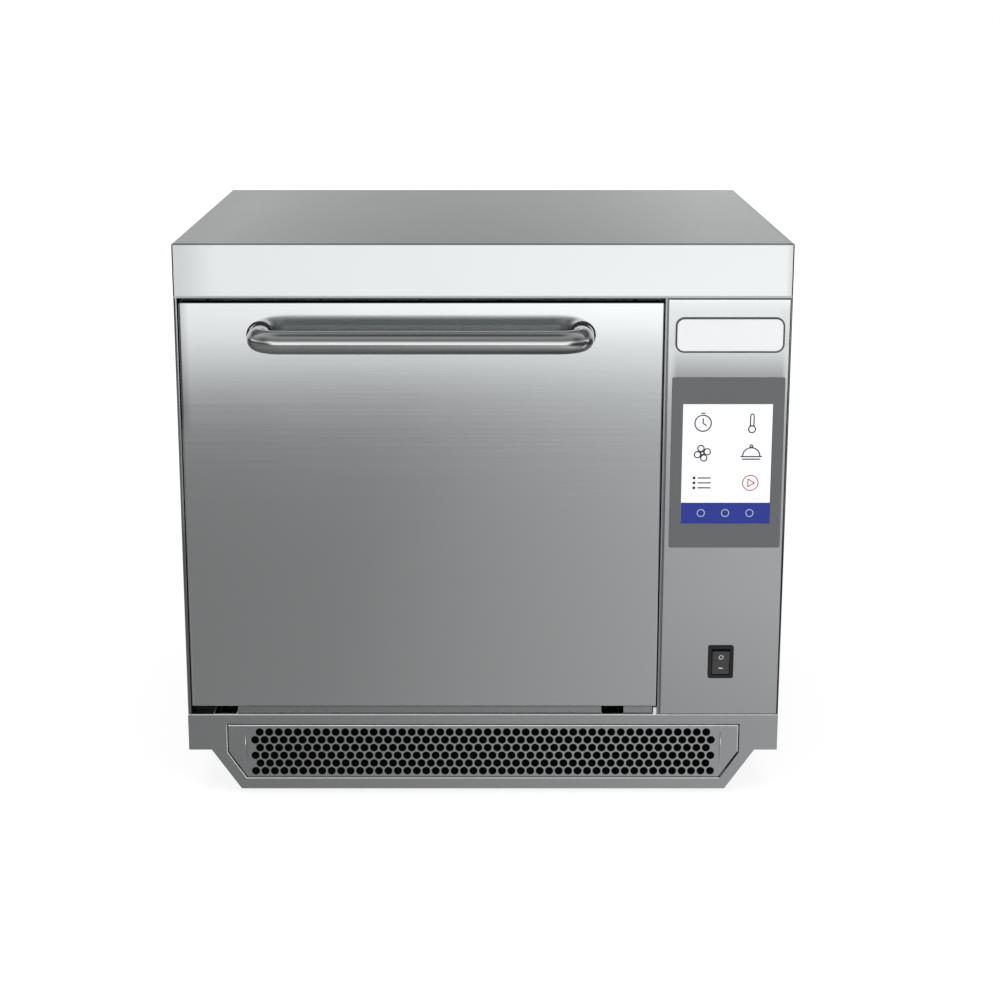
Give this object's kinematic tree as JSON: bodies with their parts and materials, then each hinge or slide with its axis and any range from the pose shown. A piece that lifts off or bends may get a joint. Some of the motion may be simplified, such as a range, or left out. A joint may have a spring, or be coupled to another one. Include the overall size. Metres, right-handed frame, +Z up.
{
  "type": "countertop speed oven",
  "caption": "Stainless countertop speed oven with a drop-down door, tubular handle, touch-screen control column, pull-out front air filter and a removable cavity rack.",
  "frame": {"origin": "on the surface the oven stands on, in the middle of its overall width and depth", "axes": "+X to the right seen from the front, +Y to the rear, +Z up"},
  "size_m": [0.598, 0.565, 0.563],
  "materials": {
    "brushed_steel": "brushed, slightly scuffed",
    "polished_steel": "polished",
    "zinc_steel": "plain zinc-coated sheet and castings",
    "spring_steel": "oiled spring wire",
    "aluminium": "mill finish",
    "black_plastic": "fine grain",
    "grey_plastic": "satin",
    "white_plastic": "satin",
    "screen_glass": "smooth, lit from behind",
    "rubber": "matte",
    "wool": "mineral wool blanket",
    "ceramic": "unglazed",
    "circuit_green": "coated board",
    "filter_foam": "open-cell foam"
  },
  "bodies": {
    "oven": {"air_diffuser": "brushed_steel", "back_panel": "brushed_steel", "badge_plate": "white_plastic", "base_front_panel": "brushed_steel", "base_pan": "zinc_steel", "cable_gland": "black_plastic", "capacitor": "aluminium", "catalytic_converter": "zinc_steel", "cavity_flange": "brushed_steel", "cavity_floor_tile": "ceramic", "cavity_liner": "brushed_steel", "cavity_rear_wall": "brushed_steel", "chassis_deck": "zinc_steel", "control_board": "circuit_green", "control_fascia": "brushed_steel", "convection_motor": "zinc_steel", "cooling_fan_housing": "black_plastic", "cooling_fan_motor": "zinc_steel", "display_bezel": "grey_plastic", "divider_wall": "brushed_steel", "door_spring_left": "spring_steel", "door_spring_right": "spring_steel", "foot_front_left": "rubber", "foot_front_right": "rubber", "foot_rear_left": "rubber", "foot_rear_right": "rubber", "front_frame": "brushed_steel", "heater_element": "zinc_steel", "hinge_bracket_left": "zinc_steel", "hinge_bracket_right": "zinc_steel", "hinge_pin_left": "zinc_steel", "hinge_pin_right": "zinc_steel", "insulation": "wool", "left_side_panel": "brushed_steel", "magnetron": "aluminium", "rack_runner_left": "brushed_steel", "rack_runner_right": "brushed_steel", "right_side_panel": "brushed_steel", "steam_outlet": "brushed_steel", "stirrer_motor": "zinc_steel", "switch_housing": "black_plastic", "top_cover": "brushed_steel", "touch_screen": "screen_glass", "transformer": "zinc_steel", "waveguide": "aluminium"},
    "door": {"door_skin": "brushed_steel", "door_inner_panel": "brushed_steel", "door_seal": "white_plastic", "door_handle": "polished_steel", "handle_collar_left": "black_plastic", "handle_collar_right": "black_plastic", "hinge_arm_left": "zinc_steel", "hinge_arm_right": "zinc_steel"},
    "rocker": {"power_rocker": "black_plastic"},
    "air_filter": {"air_filter_panel": "brushed_steel", "air_filter_mat": "filter_foam"},
    "rack": {"wire_rack": "polished_steel"},
    "convection_rotor": {"convection_fan": "brushed_steel"},
    "cooling_rotor": {"cooling_fan_blades": "black_plastic"},
    "stirrer": {"mode_stirrer": "aluminium"}
  },
  "joints": [
    {"name": "door_hinge", "type": "hinge", "parent": "oven", "child": "door", "pos_m": [0, -0.2195, 0.0817], "axis": [1, 0, 0], "range_deg": [0, 90], "stiffness_Nm_per_rad": 6, "springref_deg": -17.19, "deforming": ["door_spring_left", "door_spring_right"]},
    {"name": "power_rocker", "type": "hinge", "parent": "oven", "child": "rocker", "pos_m": [0.2392, -0.2235, 0.1417], "axis": [1, 0, 0], "range_deg": [-14, 0]},
    {"name": "air_filter_slide", "type": "slide", "parent": "oven", "child": "air_filter", "axis": [0, -1, 0], "range_m": [0, 0.04]},
    {"name": "rack_slide", "type": "slide", "parent": "oven", "child": "rack", "axis": [0, -1, 0], "range_m": [0, 0.012]},
    {"name": "convection_fan_spin", "type": "hinge", "parent": "oven", "child": "convection_rotor", "pos_m": [-0.06, 0.17, 0.3], "axis": [0, 1, 0], "continuous": true},
    {"name": "cooling_fan_spin", "type": "hinge", "parent": "oven", "child": "cooling_rotor", "pos_m": [0.2315, 0.26, 0.35], "axis": [0, 1, 0], "continuous": true},
    {"name": "stirrer_spin", "type": "hinge", "parent": "oven", "child": "stirrer", "pos_m": [-0.06, -0.021, 0.101], "axis": [0, 0, 1], "continuous": true}
  ]
}
